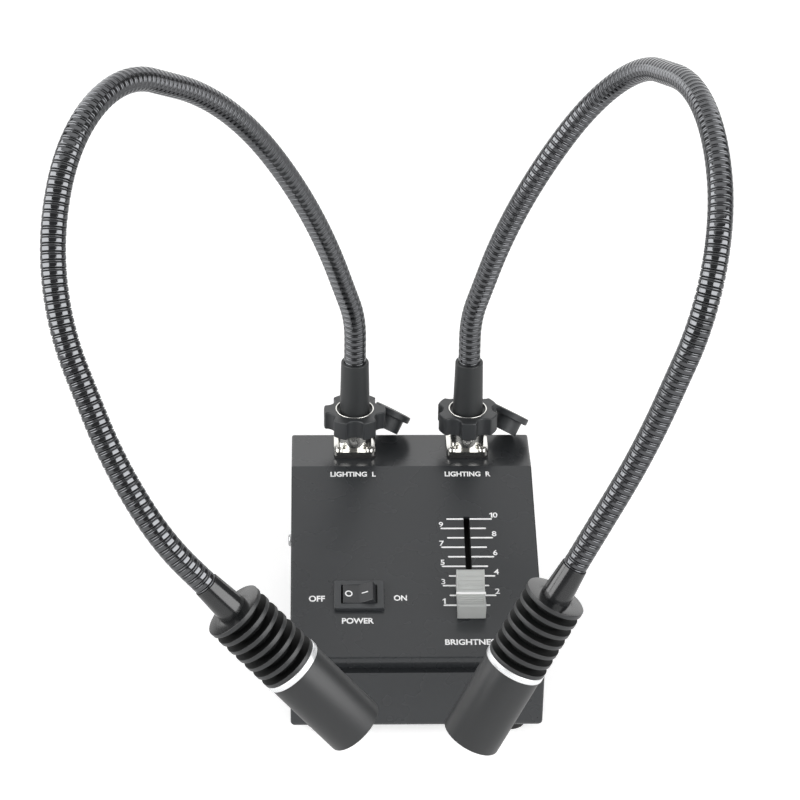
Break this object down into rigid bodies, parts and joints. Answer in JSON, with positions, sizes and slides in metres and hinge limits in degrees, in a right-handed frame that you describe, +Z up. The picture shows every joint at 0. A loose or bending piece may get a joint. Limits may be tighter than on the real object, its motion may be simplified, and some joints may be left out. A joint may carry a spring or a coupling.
{
  "type": "twin-arm bench spot light",
  "caption": "Sloped steel control box with a rocker switch and a slide dimmer, carrying flexible ribbed arms with finned lamp heads on screw-nut sockets.",
  "frame": {"origin": "centre of the case's footprint, on the plane its feet stand on", "axes": "+X to the right of someone facing the panel, +Y towards the back, +Z up"},
  "size_m": [0.251, 0.2349, 0.2895],
  "materials": {
    "case_paint": "matt dark grey powder coat on folded steel sheet",
    "foot_rubber": "matt black moulded rubber",
    "zinc_steel": "zinc plated steel",
    "black_plastic": "fine matt black moulding",
    "rocker_plastic": "satin black moulding with white marks",
    "fader_plastic": "satin mid grey moulding with a white line",
    "chrome": "bright nickel plate on turned brass",
    "black_anodised": "satin black anodised turned aluminium",
    "bright_ring": "bright turned aluminium",
    "arm_tube": "satin black flexible ribbed tube",
    "brass": "plain brass",
    "green_board": "green coated circuit board",
    "transformer": "taped winding in a dark core",
    "capacitor": "sleeved capacitor cans",
    "heat_plate": "plain aluminium sheet",
    "lamp_board": "white coated aluminium board",
    "lens": "clear polished lens"
  },
  "bodies": {
    "case": {"base_tray": "case_paint", "top_cover": "case_paint", "cover_screws": "zinc_steel", "foot_screws": "zinc_steel", "inlet_screws": "zinc_steel", "flange_screws": "chrome", "feet": "foot_rubber", "power_inlet": "black_plastic", "inlet_pins": "brass", "power_board": "green_board", "board_standoffs": "brass", "board_screws": "zinc_steel", "supply_transformer": "transformer", "supply_capacitors": "capacitor", "supply_heat_plate": "heat_plate", "control_board": "green_board", "stud_nuts": "zinc_steel", "fader_track": "zinc_steel", "rocker_housing": "black_plastic", "rocker_tags": "brass", "socket_gasket_left": "foot_rubber", "socket_shell_left": "chrome", "socket_core_left": "black_plastic", "arm_plug_left": "chrome", "arm_sleeve_left": "black_plastic", "arm_tube_1_left": "arm_tube", "socket_gasket_right": "foot_rubber", "socket_shell_right": "chrome", "socket_core_right": "black_plastic", "arm_plug_right": "chrome", "arm_sleeve_right": "black_plastic", "arm_tube_1_right": "arm_tube"},
    "fader": {"fader_carriage": "zinc_steel", "fader_cap": "fader_plastic"},
    "rocker": {"rocker_button": "rocker_plastic"},
    "cap_left": {"dust_cap_left": "black_plastic"},
    "nut_carrier_left": {"nut_ring_left": "chrome"},
    "nut_left": {"hand_nut_left": "black_plastic"},
    "arm_rise_left": {"arm_tube_2_left": "arm_tube"},
    "arm_drop_left": {"arm_tube_3_left": "arm_tube"},
    "lamp_left": {"arm_tube_4_left": "arm_tube", "head_neck_left": "black_anodised", "heat_sink_left": "black_anodised", "trim_ring_left": "bright_ring", "lamp_barrel_left": "black_anodised", "lamp_board_left": "lamp_board", "lens_left": "lens"},
    "cap_right": {"dust_cap_right": "black_plastic"},
    "nut_carrier_right": {"nut_ring_right": "chrome"},
    "nut_right": {"hand_nut_right": "black_plastic"},
    "arm_rise_right": {"arm_tube_2_right": "arm_tube"},
    "arm_drop_right": {"arm_tube_3_right": "arm_tube"},
    "lamp_right": {"arm_tube_4_right": "arm_tube", "head_neck_right": "black_anodised", "heat_sink_right": "black_anodised", "trim_ring_right": "bright_ring", "lamp_barrel_right": "black_anodised", "lamp_board_right": "lamp_board", "lens_right": "lens"}
  },
  "joints": [
    {"name": "fader_slide", "type": "slide", "parent": "case", "child": "fader", "axis": [0, 0.9619, 0.2735], "range_m": [-0.00238, 0.04532]},
    {"name": "rocker_tilt", "type": "hinge", "parent": "case", "child": "rocker", "pos_m": [-0.0238, -0.03322, 0.04827], "axis": [0, 0.9619, 0.2735], "range_deg": [0, 18]},
    {"name": "cap_swing_left", "type": "hinge", "parent": "case", "child": "cap_left", "pos_m": [-0.0186, 0.0644, 0.073], "axis": [0, 0, 1], "range_deg": [0, 75]},
    {"name": "nut_lift_left", "type": "slide", "parent": "case", "child": "nut_carrier_left", "axis": [0, 0, 1], "range_m": [0, 0.0025]},
    {"name": "nut_turn_left", "type": "hinge", "parent": "nut_carrier_left", "child": "nut_left", "pos_m": [-0.0248, 0.0536, 0.08375], "axis": [0, 0, 1], "range_deg": [0, 900]},
    {"name": "arm_lean_left", "type": "hinge", "parent": "case", "child": "arm_rise_left", "pos_m": [-0.02986, 0.04979, 0.14995], "axis": [-0.0603, 0.9775, 0.202], "range_deg": [-25, 3]},
    {"name": "arm_fold_left", "type": "hinge", "parent": "arm_rise_left", "child": "arm_drop_left", "pos_m": [-0.09878, -0.0173, 0.27423], "axis": [0.8704, -0.4132, 0.2676], "range_deg": [-25, 8]},
    {"name": "lamp_aim_left", "type": "hinge", "parent": "arm_drop_left", "child": "lamp_left", "pos_m": [-0.12482, -0.12434, 0.2], "axis": [0.9333, 0.1585, 0.3223], "range_deg": [-25, 25]},
    {"name": "cap_swing_right", "type": "hinge", "parent": "case", "child": "cap_right", "pos_m": [0.031, 0.0644, 0.073], "axis": [0, 0, 1], "range_deg": [0, 75]},
    {"name": "nut_lift_right", "type": "slide", "parent": "case", "child": "nut_carrier_right", "axis": [0, 0, 1], "range_m": [0, 0.0025]},
    {"name": "nut_turn_right", "type": "hinge", "parent": "nut_carrier_right", "child": "nut_right", "pos_m": [0.0248, 0.0536, 0.08375], "axis": [0, 0, 1], "range_deg": [0, 900]},
    {"name": "arm_lean_right", "type": "hinge", "parent": "case", "child": "arm_rise_right", "pos_m": [0.02958, 0.05101, 0.1502], "axis": [0.0383, 0.9897, 0.1383], "range_deg": [-3, 25]},
    {"name": "arm_fold_right", "type": "hinge", "parent": "arm_rise_right", "child": "arm_drop_right", "pos_m": [0.09439, -0.00296, 0.2728], "axis": [0.9736, 0.2183, -0.0668], "range_deg": [-25, 8]},
    {"name": "lamp_aim_right", "type": "hinge", "parent": "arm_drop_right", "child": "lamp_right", "pos_m": [0.08976, -0.11682, 0.20051], "axis": [0.9433, -0.0241, -0.3309], "range_deg": [-25, 25]}
  ],
  "couplings": [
    {"joint": "nut_lift_left", "follows": "nut_turn_left", "m_per_rad": 0.00015915},
    {"joint": "nut_lift_right", "follows": "nut_turn_right", "m_per_rad": 0.00015915}
  ]
}
